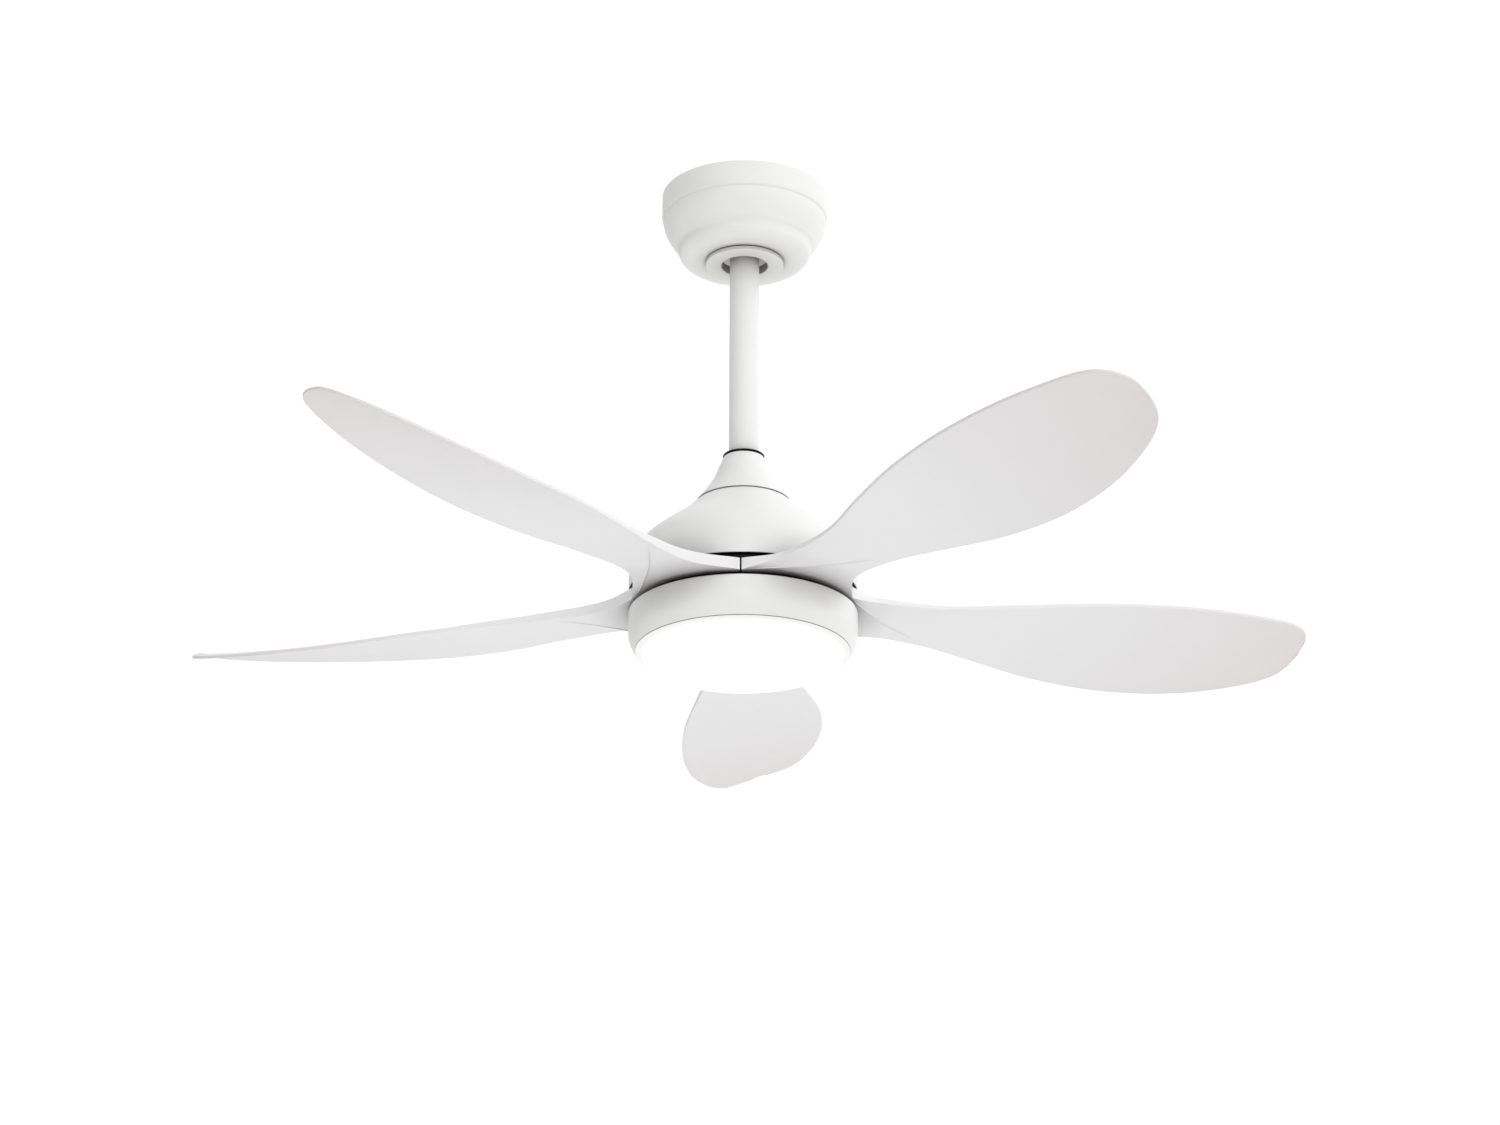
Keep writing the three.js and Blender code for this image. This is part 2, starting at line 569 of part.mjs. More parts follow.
function readTable(table, x) {
  const last = table.length - 1;
  if (x <= table[0][0]) return table[0][1];
  if (x >= table[last][0]) return table[last][1];
  const i = table.findIndex(([at]) => at > x);
  const [[x0, y0], [x1, y1]] = [table[i - 1], table[i]];
  return y0 + ((y1 - y0) * (x - x0)) / (x1 - x0);
}

function bladeSolid() {
  const columns = 4;
  const rowsPerSpan = 2;
  const edgePoints = BLADE_EDGE.map((point) => new THREE.Vector3(...point));
  const edge = new THREE.CatmullRomCurve3(edgePoints, false, "centripetal");
  const spans = (BLADE_EDGE.length - 1) / 2;
  const rows = [];

  // The root sector's inner end is an arc; its outer end is the first ruling between the edges.
  const innerArc = [];
  for (let j = 0; j <= columns; j++) {
    const [x, y] = seamPoint(BLADE_ROOT_INNER, 1);
    const angle = Math.atan2(y, x) * ((2 * j) / columns - 1);
    innerArc.push({
      x: BLADE_ROOT_INNER * Math.cos(angle), y: BLADE_ROOT_INNER * Math.sin(angle),
      low: BLADE_ROOT_UNDERSIDE, high: BLADE_ROOT_TOP,
    });
  }
  rows.push(innerArc);

  const lerp = THREE.MathUtils.lerp;
  for (let i = 0; i <= spans * rowsPerSpan; i++) {
    const t = i / (2 * spans * rowsPerSpan);
    const lead = edge.getPoint(t);
    const trail = edge.getPoint(1 - t);
    const chord = lead.distanceTo(trail);
    const out = (lead.x + trail.x) / 2;
    const crease = readTable(CREASE_SHARE, out);
    const straight = lerp(lead.z, trail.z, crease);
    const creased = out < CREASE_END ? readTable(CREASE_HEIGHT, out) : straight;
    const camber = CAMBER * chord * THREE.MathUtils.smoothstep(out, 110, 240);
    const shares = [0, crease / 2, crease, (1 + crease) / 2, 1];
    rows.push(shares.map((across) => {
      const x = lerp(lead.x, trail.x, across);
      const bow = 4 * across * (1 - across);
      const ruled = across < crease
        ? lerp(lead.z, creased, across / crease)
        : lerp(creased, trail.z, (across - crease) / (1 - crease));
      const low = ruled + camber * bow;
      const edges = lerp(readTable(THICKNESS.leading, x), readTable(THICKNESS.trailing, x), across);
      const thickness = lerp(edges, readTable(THICKNESS.middle, x), bow);
      const upper = lerp(lead.z, trail.z, across) + camber * bow + thickness;
      const leaving = THREE.MathUtils.smoothstep(x, ...ROOT_TOP_END);
      const high = lerp(BLADE_ROOT_TOP, upper, leaving);
      return { x, y: lerp(lead.y, trail.y, across), low, high };
    }));
  }

  const positions = [];
  const quad = (a, b, c, d) => positions.push(...a, ...b, ...c, ...a, ...c, ...d);
  const low = (p) => [p.x, p.y, p.low];
  const high = (p) => [p.x, p.y, p.high];
  for (let i = 0; i < rows.length - 1; i++) {
    const [near, far] = [rows[i], rows[i + 1]];
    for (let j = 0; j < columns; j++) {
      quad(low(near[j]), low(near[j + 1]), low(far[j + 1]), low(far[j]));
      quad(high(near[j + 1]), high(near[j]), high(far[j]), high(far[j + 1]));
    }
    quad(high(near[0]), low(near[0]), low(far[0]), high(far[0]));
    quad(low(near[columns]), high(near[columns]), high(far[columns]), low(far[columns]));
  }
  for (let j = 0; j < columns; j++) {
    quad(low(rows[0][j + 1]), low(rows[0][j]), high(rows[0][j]), high(rows[0][j + 1]));
  }
  const geometry = new THREE.BufferGeometry();
  geometry.setAttribute("position", new THREE.Float32BufferAttribute(positions, 3));
  const holes = [-1, 1].flatMap((side) => {
    const x = BLADE_SCREW_RADIUS * Math.cos(BLADE_SCREW_SPREAD);
    const y = side * BLADE_SCREW_RADIUS * Math.sin(BLADE_SCREW_SPREAD);
    return [
      bar(2.5, 40, "z", [x, y, 10]),
      bar(COUNTERBORE_RADIUS, 2 * COUNTERBORE_DEPTH, "z", [x, y, BLADE_ROOT_UNDERSIDE]),
    ];
  });
  return cut(solid(geometry), ...holes);
}

const bladeGeometry = geometryOf(bladeSolid());
for (const [i, angle] of bladeAngles().entries()) {
  place(`blade_${i + 1}`, bladeGeometry, BLADE_PLASTIC, { z: BLADE_DATUM, angle });
}
const bladeScrew = geometryOf(screwUp(2, 12, 4, 2.6));
const bladeScrewHeight = BLADE_DATUM + BLADE_ROOT_UNDERSIDE + COUNTERBORE_DEPTH - GAP;
for (const [i, { x, y }] of bladeScrewPlaces().entries()) {
  const name = `blade_screw_${Math.floor(i / 2) + 1}_${(i % 2) + 1}`;
  place(name, bladeScrew, ZINC_STEEL, { x, y, z: bladeScrewHeight });
}

// ---- lamp: plate, body, driver, board, diffuser ---------------------------------------------------------

function panScrewPlaces() {
  return ring(3, PAN_SCREW_RADIUS, Math.PI / 2);
}

function bossPlaces() {
  return ring(3, BOSS_RADIUS, Math.PI / 2);
}

const PLATE_LOW = LAMP_TOP + GAP;
const FLOOR_LOW = LAMP_TOP - 2;
const LIP_HEIGHT = 2.2;               // the lamp body's inward lip, which the diffuser's lugs rest on

// A dished black plate that shuts the space between the lamp body and the turning blade roots.
function lightPlate() {
  const sheet = 1.5;
  const seat = PLATE_LOW + 2;
  const top = PLATE_LOW + LIGHT_PLATE_RISE;
  const plate = turned([
    [SHAFT_RADIUS + GAP, PLATE_LOW], [40, PLATE_LOW], [42, top - sheet],
    [LIGHT_PLATE_RADIUS - sheet, top - sheet],
    [LIGHT_PLATE_RADIUS - sheet, PLATE_LOW], [LIGHT_PLATE_RADIUS, PLATE_LOW], [LIGHT_PLATE_RADIUS, top],
    [41, top], [39, seat], [SHAFT_RADIUS + GAP, seat],
  ], 24);
  return cut(plate, ...panScrewPlaces().map(({ x, y }) => bar(2.3, 10, "z", [x, y, PLATE_LOW])));
}

function shaftNut() {
  const across = 13;
  const height = 6;
  const hexagon = new THREE.CylinderGeometry(across, across, height, 6).rotateX(Math.PI / 2);
  const middle = PLATE_LOW - GAP - height / 2;
  const bore = bar(SHAFT_RADIUS + GAP, 20, "z", [0, 0, middle], SMALL_SEGMENTS);
  return cut(solid(hexagon.translate(0, 0, middle)), bore);
}

// A block that spans part of a turn, used for the bayonet's lugs and notches.
function sector(inner, outer, low, high, middle, sweep) {
  const shape = new THREE.Shape();
  shape.absarc(0, 0, outer, middle - sweep / 2, middle + sweep / 2, false);
  shape.absarc(0, 0, inner, middle + sweep / 2, middle - sweep / 2, true);
  const depth = high - low;
  const geometry = new THREE.ExtrudeGeometry(shape, { depth, bevelEnabled: false, curveSegments: 5 });
  return solid(geometry.translate(0, 0, low));
}

function lightPan() {
  const inside = LAMP_RADIUS - SHELL_WALL;
  const lip = LAMP_BOTTOM + LIP_HEIGHT;
  const body = turned([
    [LAMP_FLOOR_HOLE, FLOOR_LOW], [LAMP_FLOOR_HOLE, LAMP_TOP], [LAMP_RADIUS - 1.2, LAMP_TOP],
    [LAMP_RADIUS, LAMP_TOP - 1.2], [LAMP_RADIUS, -425.5], [LAMP_RADIUS - 0.6, -430.5], [98.4, -435.2],
    [96.4, -439.3], [LAMP_MOUTH, LAMP_BOTTOM], [NECK_OUTER + 0.6, LAMP_BOTTOM], [NECK_OUTER + 0.6, lip],
    [93.6, lip], [96, -435.2], [inside - 0.5, -430.5], [inside, -425.5], [inside, FLOOR_LOW],
  ], BIG_SEGMENTS);
  const bosses = bossPlaces().map(({ x, y }) => {
    const height = FLOOR_LOW - BOARD_TOP - GAP;
    return bar(4, height + 1, "z", [x, y, FLOOR_LOW + 1 - (height + 1) / 2]);
  });
  const bores = bossPlaces().map(({ x, y }) => bar(1.8, 16, "z", [x, y, BOARD_TOP]));
  const screwHoles = panScrewPlaces().map(({ x, y }) => bar(2.4, 10, "z", [x, y, LAMP_TOP]));
  const notches = ring(LUG_COUNT, 1, LUG_RELEASE).map(({ angle }) =>
    sector(NECK_OUTER - 1, 93.2, LAMP_BOTTOM - 1, lip + 1, angle, LUG_SWEEP + 0.07));
  return cut(join(body, ...bosses), ...bores, ...screwHoles, ...notches);
}

function ledBoard() {
  const board = tube(BOARD_RADIUS, 6, BOARD_TOP - 1.6, BOARD_TOP, MID_SEGMENTS);
  const rings = [[6, 28], [10, 52], [14, 77.2]];
  const chips = rings.flatMap(([count, radius]) => ring(count, radius, 0.13).map(({ x, y }) =>
    block([x - 2.5, x + 2.5], [y - 2.5, y + 2.5], [BOARD_TOP - 2.4, BOARD_TOP - 1.4])));
  const holes = bossPlaces().map(({ x, y }) => bar(2, 10, "z", [x, y, BOARD_TOP]));
  return cut(join(board, ...chips), ...holes);
}

function diffuser() {
  const neckInner = NECK_OUTER - 2.2;
  const neckTop = -434.6;
  const top = LAMP_BOTTOM - GAP;
  const bowl = turned([
    [0, -457], [32, -456.6], [58, -455.6], [75, -454], [85.5, -451.8], [90.6, -449.4], [93.1, -446.4],
    [93.9, top - 0.8], [93.6, top], [NECK_OUTER, top], [NECK_OUTER, neckTop], [neckInner, neckTop],
    [neckInner, -447], [84.6, -449.9], [74.6, -452], [58, -453.6], [32, -454.6], [0, -455],
  ], BIG_SEGMENTS);
  const lugLow = LAMP_BOTTOM + LIP_HEIGHT + GAP;
  const lugs = ring(LUG_COUNT, 1).map(({ angle }) =>
    sector(NECK_OUTER - 1, 92.6, lugLow, lugLow + 2.6, angle, LUG_SWEEP));
  return join(bowl, ...lugs);
}

add("light_plate", lightPlate(), BLACK_METAL);
add("shaft_nut", shaftNut(), ZINC_STEEL);
add("light_pan", lightPan(), WHITE_PAINT);
add("led_driver", block([-35, 35], [-56, -20.5], [-428.5, FLOOR_LOW - GAP]), WHITE_PLASTIC);
add("led_board", ledBoard(), BOARD_WHITE);
add("diffuser", diffuser(), OPAL);

const panScrew = geometryOf(screwUp(2, 6, 4, 2.4));
for (const [i, { x, y }] of panScrewPlaces().entries()) {
  place(`pan_screw_${i + 1}`, panScrew, ZINC_STEEL, { x, y, z: FLOOR_LOW - GAP });
}
const boardScrew = geometryOf(screwUp(1.5, 8, 3, 1.8));
for (const [i, { x, y }] of bossPlaces().entries()) {
  place(`board_screw_${i + 1}`, boardScrew, ZINC_STEEL, { x, y, z: BOARD_TOP - 1.6 - GAP });
}

export default fan;
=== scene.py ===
"""Ceiling fan with a light: fine surfaces, materials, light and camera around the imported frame.

The frame is in metres, +Z up, with its origin on the ceiling on the fan's axis. Outlines are in
millimetres, as [radius, height] or [x, y, height], and are scaled by MM when a mesh is made.
"""
import json
import math

import bpy
import numpy as np
from mathutils import Matrix, Vector


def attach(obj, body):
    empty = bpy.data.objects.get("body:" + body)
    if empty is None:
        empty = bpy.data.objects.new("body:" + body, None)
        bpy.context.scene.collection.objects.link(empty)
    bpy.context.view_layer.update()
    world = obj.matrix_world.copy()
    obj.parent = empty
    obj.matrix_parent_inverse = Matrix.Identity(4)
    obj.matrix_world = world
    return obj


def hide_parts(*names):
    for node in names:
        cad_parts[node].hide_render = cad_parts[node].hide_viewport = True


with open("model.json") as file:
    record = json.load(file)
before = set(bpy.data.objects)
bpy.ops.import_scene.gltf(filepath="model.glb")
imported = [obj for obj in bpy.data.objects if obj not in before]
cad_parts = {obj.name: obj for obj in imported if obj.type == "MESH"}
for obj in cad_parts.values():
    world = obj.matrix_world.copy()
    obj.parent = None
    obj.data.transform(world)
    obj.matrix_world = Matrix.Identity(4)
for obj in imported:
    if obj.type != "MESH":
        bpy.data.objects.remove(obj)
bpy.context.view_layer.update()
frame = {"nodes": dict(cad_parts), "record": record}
NODES = frame["nodes"]
MM = 0.001
TURN = 2 * math.pi


# ---- camera --------------------------------------------------------------------------------------

def add_camera():
    """A long lens below the fan, looking up at it from in front."""
    distance, height = 2.9845, -1.5322
    yaw, pitch, roll = (math.radians(a) for a in (0.209, 21.464, 0.179))
    forward = Vector((math.sin(yaw) * math.cos(pitch), math.cos(yaw) * math.cos(pitch), math.sin(pitch)))
    right = Vector((math.cos(yaw), -math.sin(yaw), 0))
    up = right.cross(forward)
    rolled_right = math.cos(roll) * right + math.sin(roll) * up
    rolled_up = math.cos(roll) * up - math.sin(roll) * right
    data = bpy.data.cameras.new("camera")
    data.sensor_width = 36
    data.lens = 87.372
    data.shift_x = -0.00374
    camera = bpy.data.objects.new("camera", data)
    camera.matrix_world = Matrix((
        (rolled_right.x, rolled_up.x, -forward.x, 0),
        (rolled_right.y, rolled_up.y, -forward.y, -distance),
        (rolled_right.z, rolled_up.z, -forward.z, height),
        (0, 0, 0, 1),
    ))
    bpy.context.scene.collection.objects.link(camera)
    bpy.context.scene.camera = camera


# ---- materials -----------------------------------------------------------------------------------

# Painted shade: a surface with a neighbour this near is darkened towards a share of its own colour, in gaps
# and under overhangs.
CREVICE_SHADE_REACH = 0.04                  # how near a neighbour has to be to darken a surface
CREVICE_SHADE_TONE = (0.2, 0.17, 0.165)     # share of a paint's own colour left in a closed gap


def new_material(name):
    material = bpy.data.materials.new(name)
    material.use_nodes = True
    tree = material.node_tree
    shader = tree.nodes["Principled BSDF"]
    return material, tree, shader


def grey(level):
    return level, level, level


def object_coordinates(tree):
    return tree.nodes.new("ShaderNodeTexCoord").outputs["Object"]


def noise(tree, scale, detail=3.0, roughness=0.55):
    node = tree.nodes.new("ShaderNodeTexNoise")
    node.inputs["Scale"].default_value = scale
    node.inputs["Detail"].default_value = detail
    node.inputs["Roughness"].default_value = roughness
    tree.links.new(object_coordinates(tree), node.inputs["Vector"])
    return node.outputs["Fac"]


def spread(tree, value, low, high, source_low=0.3, source_high=0.7):
    """Maps a value from its source range onto low to high, and holds it at both ends."""
    node = tree.nodes.new("ShaderNodeMapRange")
    node.inputs["From Min"].default_value = source_low
    node.inputs["From Max"].default_value = source_high
    node.inputs["To Min"].default_value = low
    node.inputs["To Max"].default_value = high
    tree.links.new(value, node.inputs["Value"])
    return node.outputs["Result"]


def blend_colours(tree, share, first, second):
    node = tree.nodes.new("ShaderNodeMix")
    node.data_type = "RGBA"
    node.inputs["A"].default_value = (*first, 1)
    node.inputs["B"].default_value = (*second, 1)
    tree.links.new(share, node.inputs["Factor"])
    return node.outputs["Result"]


def multiply_add(tree, value, factor, addend):
    """value * factor + addend, where factor and addend are numbers or sockets."""
    node = tree.nodes.new("ShaderNodeMath")
    node.operation = "MULTIPLY_ADD"
    tree.links.new(value, node.inputs[0])
    for socket, given in ((node.inputs[1], factor), (node.inputs[2], addend)):
        if isinstance(given, (int, float)):
            socket.default_value = given
        else:
            tree.links.new(given, socket)
    return node.outputs["Value"]


def bump(tree, shader, height, strength, distance):
    node = tree.nodes.new("ShaderNodeBump")
    node.inputs["Strength"].default_value = strength
    node.inputs["Distance"].default_value = distance
    tree.links.new(height, node.inputs["Height"])
    tree.links.new(node.outputs["Normal"], shader.inputs["Normal"])


def paint_crevice_shade(tree, colour, shadow):
    """Turns a colour towards the shadow tone in gaps and under overhangs."""
    openness = tree.nodes.new("ShaderNodeAmbientOcclusion")
    openness.samples = 8
    openness.inputs["Distance"].default_value = CREVICE_SHADE_REACH
    tree.links.new(tree.nodes.new("ShaderNodeNewGeometry").outputs["True Normal"], openness.inputs["Normal"])
    node = tree.nodes.new("ShaderNodeMix")
    node.data_type = "RGBA"
    tree.links.new(openness.outputs["AO"], node.inputs["Factor"])
    node.inputs["A"].default_value = (*shadow, 1)
    tree.links.new(colour, node.inputs["B"])
    return node.outputs["Result"]


def coated(name, colour, shade, roughness, grain, grain_depth, sheen=0.5):
    """Paint or moulded plastic: a faint drift of colour, uneven gloss, a fine surface grain and painted
    shade in gaps and under overhangs.
    """
    material, tree, shader = new_material(name)
    drift = spread(tree, noise(tree, 14.0), 0, 1)
    tone = blend_colours(tree, drift, colour, shade)
    # painted shade: the tone this paint is darkened to in gaps and under overhangs
    shadow = tuple(share * channel for share, channel in zip(CREVICE_SHADE_TONE, colour))
    tree.links.new(paint_crevice_shade(tree, tone, shadow), shader.inputs["Base Color"])
    gloss = spread(tree, noise(tree, 60.0, 4.0), roughness - 0.05, roughness + 0.06)
    tree.links.new(gloss, shader.inputs["Roughness"])
    bump(tree, shader, noise(tree, grain, 2.0), 0.25, grain_depth)
    shader.inputs["Specular IOR Level"].default_value = sheen
    return material


def blade_material():
    """Moulded blade plastic with painted shade: a cool white near the hub that darkens to a warmer grey at
    the tips, and a pinkish shadow tone in gaps.
    """
    material, tree, shader = new_material("blade_plastic")
    reach = tree.nodes.new("ShaderNodeVectorMath")
    reach.operation = "LENGTH"
    tree.links.new(object_coordinates(tree), reach.inputs[0])
    # painted shade: the blade is made darker and warmer towards its tips, where less light falls on it
    tip_shade = spread(tree, reach.outputs["Value"], 0, 1, 0.46, 0.68)
    # a random drift of tone is added on top of the painted tip shade
    share = multiply_add(tree, spread(tree, noise(tree, 9.0), 0, 1), 0.12, tip_shade)
    tone = blend_colours(tree, share, (0.872, 0.87, 0.882), (0.76, 0.73, 0.73))
    # painted shade in gaps and under overhangs, in a pinkish shadow tone
    shaded = paint_crevice_shade(tree, tone, (0.17, 0.14, 0.135))
    tree.links.new(shaded, shader.inputs["Base Color"])
    gloss = spread(tree, noise(tree, 60.0, 4.0), 0.4, 0.5)
    tree.links.new(gloss, shader.inputs["Roughness"])
    bump(tree, shader, noise(tree, 1900.0, 2.0), 0.25, 0.00004)
    return material


def metal(name, colour, shade, roughness, grain=900.0):
    """Bare or plated metal: blotchy tone, scuffed gloss and a fine grain."""
    material, tree, shader = new_material(name)
    blotch = spread(tree, noise(tree, 90.0, 5.0), 0, 1)
    tree.links.new(blend_colours(tree, blotch, colour, shade), shader.inputs["Base Color"])
    gloss = spread(tree, noise(tree, 260.0, 4.0), roughness - 0.08, roughness + 0.12)
    tree.links.new(gloss, shader.inputs["Roughness"])
    bump(tree, shader, noise(tree, grain, 2.0), 0.2, 0.00004)
    shader.inputs["Metallic"].default_value = 1
    return material


def opal_material():
    """Lit opal plastic: a full glow on the dome, less on its rim band, none on the neck inside the pan."""
    material, tree, shader = new_material("opal")
    split = tree.nodes.new("ShaderNodeSeparateXYZ")
    tree.links.new(object_coordinates(tree), split.inputs["Vector"])
    dome = spread(tree, split.outputs["Z"], 1, 0, -0.4446, -0.4444)
    band = spread(tree, split.outputs["Z"], 0.68, 0, -0.4433, -0.4431)
    facing = tree.nodes.new("ShaderNodeLayerWeight")
    facing.inputs["Blend"].default_value = 0.5
    glow = spread(tree, facing.outputs["Facing"], 0.34, -0.06, 0.75, 1)
    tree.links.new(multiply_add(tree, dome, glow, band), shader.inputs["Emission Strength"])
    tint = blend_colours(tree, dome, (1.0, 0.995, 0.975), (1.0, 0.997, 0.985))
    tree.links.new(tint, shader.inputs["Emission Color"])
    shader.inputs["Base Color"].default_value = (0.2, 0.2, 0.198, 1)
    shader.inputs["Specular IOR Level"].default_value = 0.2
    gloss = spread(tree, noise(tree, 80.0), 0.3, 0.36)
    tree.links.new(gloss, shader.inputs["Roughness"])
    bump(tree, shader, noise(tree, 1800.0, 2.0), 0.1, 0.00003)
    return material


def winding_material():
    """Enamelled copper wire, laid in fine turns."""
    material, tree, shader = new_material("copper")
    wave = tree.nodes.new("ShaderNodeTexWave")
    wave.inputs["Scale"].default_value = 420
    wave.inputs["Distortion"].default_value = 2.5
    tree.links.new(object_coordinates(tree), wave.inputs["Vector"])
    colour = blend_colours(tree, wave.outputs["Fac"], (0.42, 0.16, 0.06), (0.75, 0.36, 0.17))
    tree.links.new(colour, shader.inputs["Base Color"])
    bump(tree, shader, wave.outputs["Fac"], 0.7, 0.0002)
    shader.inputs["Metallic"].default_value = 0.9
    shader.inputs["Roughness"].default_value = 0.35
    return material


MATERIALS = {
    "white_paint": coated("white_paint", (0.87, 0.87, 0.865), (0.845, 0.845, 0.84), 0.42, 1100.0, 0.00006),
    "white_plastic": coated("white_plastic", (0.86, 0.86, 0.858), (0.84, 0.84, 0.838), 0.4, 1700.0, 0.00003),
    "blade_plastic": blade_material(),
    "opal": opal_material(),
    "black_plastic": coated("black_plastic", grey(0.012), grey(0.02), 0.5, 1500.0, 0.00006, 0.3),
    "black_rubber": coated("black_rubber", grey(0.004), grey(0.007), 0.75, 1200.0, 0.00005, 0.1),
    "black_metal": coated("black_metal", grey(0.005), grey(0.008), 0.5, 900.0, 0.00006, 0.12),
    "zinc_steel": metal("zinc_steel", (0.62, 0.63, 0.65), (0.5, 0.51, 0.54), 0.34),
    "grey_steel": metal("grey_steel", (0.36, 0.37, 0.39), (0.27, 0.28, 0.3), 0.38),
    "cast_aluminium": metal("cast_aluminium", (0.56, 0.57, 0.59), (0.46, 0.47, 0.49), 0.5, 500.0),
    "copper": winding_material(),
    "ferrite": coated("ferrite", (0.05, 0.05, 0.055), (0.08, 0.078, 0.08), 0.65, 700.0, 0.0001),
    "board_white": coated("board_white", (0.85, 0.85, 0.82), (0.8, 0.8, 0.77), 0.45, 1400.0, 0.00003),
    "green_screw": metal("green_screw", (0.05, 0.27, 0.1), (0.03, 0.19, 0.07), 0.4),
}


def dress_frame():
    """Every CAD node gets its slot's material and softened edges."""
    for part in frame["record"]["subparts"]:
        node = NODES[part["node"]]
        node.data.materials.clear()
        node.data.materials.append(MATERIALS[part["material_slot"]])
        edges = node.modifiers.new("soft_edges", "BEVEL")
        edges.width = 0.25 * MM
        edges.segments = 2
        edges.limit_method = "ANGLE"
        edges.angle_limit = math.radians(50)


# ---- mesh helpers --------------------------------------------------------------------------------

def make_piece(name, points, faces, node, slot, body, sharp_degrees=38):
    """A closed mesh piece that stands for a CAD node, smooth except at its sharp edges."""
    mesh = bpy.data.meshes.new(name)
    mesh.from_pydata([tuple(p) for p in np.asarray(points) * MM], [], faces)
    mesh.validate()
    mesh.shade_smooth()
    mesh.set_sharp_from_angle(angle=math.radians(sharp_degrees))
    mesh.materials.append(MATERIALS[slot])
    piece = bpy.data.objects.new(name, mesh)
    bpy.context.scene.collection.objects.link(piece)
    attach(piece, body)
    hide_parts(node)


def rounded(corners, steps=5):
    """A closed outline of [radius, height, fillet] corners with each fillet drawn as an arc."""
    outline = []
    for i, (r, z, fillet) in enumerate(corners):
        here = np.array((r, z), float)
        if fillet <= 0:
            outline.append(here)
            continue
        before = np.array(corners[i - 1][:2], float) - here
        after = np.array(corners[(i + 1) % len(corners)][:2], float) - here
        lengths = np.linalg.norm(before), np.linalg.norm(after)
        before, after = before / lengths[0], after / lengths[1]
        opening = math.acos(float(np.clip(before @ after, -1, 1)))
        reach = min(fillet / math.tan(opening / 2), 0.48 * min(lengths))
        radius = reach * math.tan(opening / 2)
        middle = before + after
        centre = here + middle / np.linalg.norm(middle) * (radius / math.sin(opening / 2))
        start, end = here + before * reach - centre, here + after * reach - centre
        sweep = math.pi - opening
        for k in range(steps + 1):
            share = k / steps
            arc = (math.sin((1 - share) * sweep) * start + math.sin(share * sweep) * end) / math.sin(sweep)
            outline.append(centre + arc)
    return outline


def catmull_rom(points, t):
    """A point on the centripetal curve through the points; t runs from 0 to 1."""
    points = [np.array(p, float) for p in points]
    last = len(points) - 1
    i = min(int(t * last), last - 1)
    share = t * last - i
    p1, p2 = points[i], points[i + 1]
    p0 = points[i - 1] if i > 0 else 2 * p1 - p2
    p3 = points[i + 2] if i + 2 <= last else 2 * p2 - p1
    d0, d1, d2 = (math.sqrt(np.linalg.norm(b - a)) for a, b in ((p0, p1), (p1, p2), (p2, p3)))
    m1 = ((p1 - p0) / d0 - (p2 - p0) / (d0 + d1) + (p2 - p1) / d1) * d1
    m2 = ((p2 - p1) / d1 - (p3 - p1) / (d1 + d2) + (p3 - p2) / d2) * d1
    cubic = 2 * p1 - 2 * p2 + m1 + m2
    square = -3 * p1 + 3 * p2 - 2 * m1 - m2
    return p1 + m1 * share + square * share ** 2 + cubic * share ** 3


def curve(points, count):
    """A smooth line through the points."""
    return [catmull_rom(points, k / (count - 1)) for k in range(count)]


def inset(outline, wall):
    """An open outline moved by the wall's thickness towards the axis side, for one drawn downwards."""
    outline = np.array(outline, float)
    along = np.gradient(outline, axis=0)
    along /= np.linalg.norm(along, axis=1)[:, None]
    return outline + wall * np.stack([along[:, 1], -along[:, 0]], axis=1)


def lathe(name, outline, node, slot, body, segments=160):
    """A piece turned about the fan's axis from a closed outline, or from one that ends on the axis."""
    outline = np.array(outline, float)
    on_axis = outline[0][0] < 1e-6
    rings = outline[1:-1] if on_axis else outline
    angles = np.arange(segments) * TURN / segments
    points = [(r * math.cos(a), r * math.sin(a), z) for r, z in rings for a in angles]
    count = len(rings)
    faces = []
    for i in range(count - 1 if on_axis else count):
        for k in range(segments):
            near, far = i * segments, ((i + 1) % count) * segments
            following = (k + 1) % segments
            faces.append((near + k, near + following, far + following, far + k))
    if on_axis:
        points += [(0, 0, outline[0][1]), (0, 0, outline[-1][1])]
        start, end = len(points) - 2, len(points) - 1
        for k in range(segments):
            following = (k + 1) % segments
            faces.append((start, following, k))
            faces.append((end, (count - 1) * segments + k, (count - 1) * segments + following))
    face_outwards(points, faces)
    make_piece(name, points, faces, node, slot, body)


def face_outwards(points, faces):
    """Turns every face over if the solid's volume comes out negative."""
    volume = 0.0
    for face in faces:
        corners = [np.array(points[i], float) for i in face]
        for b, c in zip(corners[1:-1], corners[2:]):
            volume += float(corners[0] @ np.cross(b, c))
    if volume < 0:
        for i, face in enumerate(faces):
            faces[i] = tuple(reversed(face))


# ---- turned shells -------------------------------------------------------------------------------

def canopy():
    band = [(75.5, -0.6), (75.5, -12), (75.5, -21), (75.1, -22.9), (74.2, -24)]
    bulge = curve([
        (74.3, -25), (73.6, -30), (71.2, -36.4), (68.8, -40.8), (66.2, -45), (63.4, -49), (61.7, -51),
    ], 26)
    neck = curve([(60.9, -52.2), (60.4, -53.6), (60.1, -55.4)], 5)
    ridge = curve([(59.9, -56.4), (58.8, -59), (56.4, -61.8), (53, -63.9), (48.6, -64.7)], 16)
    outer = band + bulge + neck + ridge + [(24.1, -64.7)]
    closed = [(75, 0)] + outer + [(23.5, -64.1)] + list(inset(outer, 1.2)[::-3]) + [(74.3, 0)]
    lathe("canopy_fine", closed, "canopy", "white_paint", "ceiling_mount")


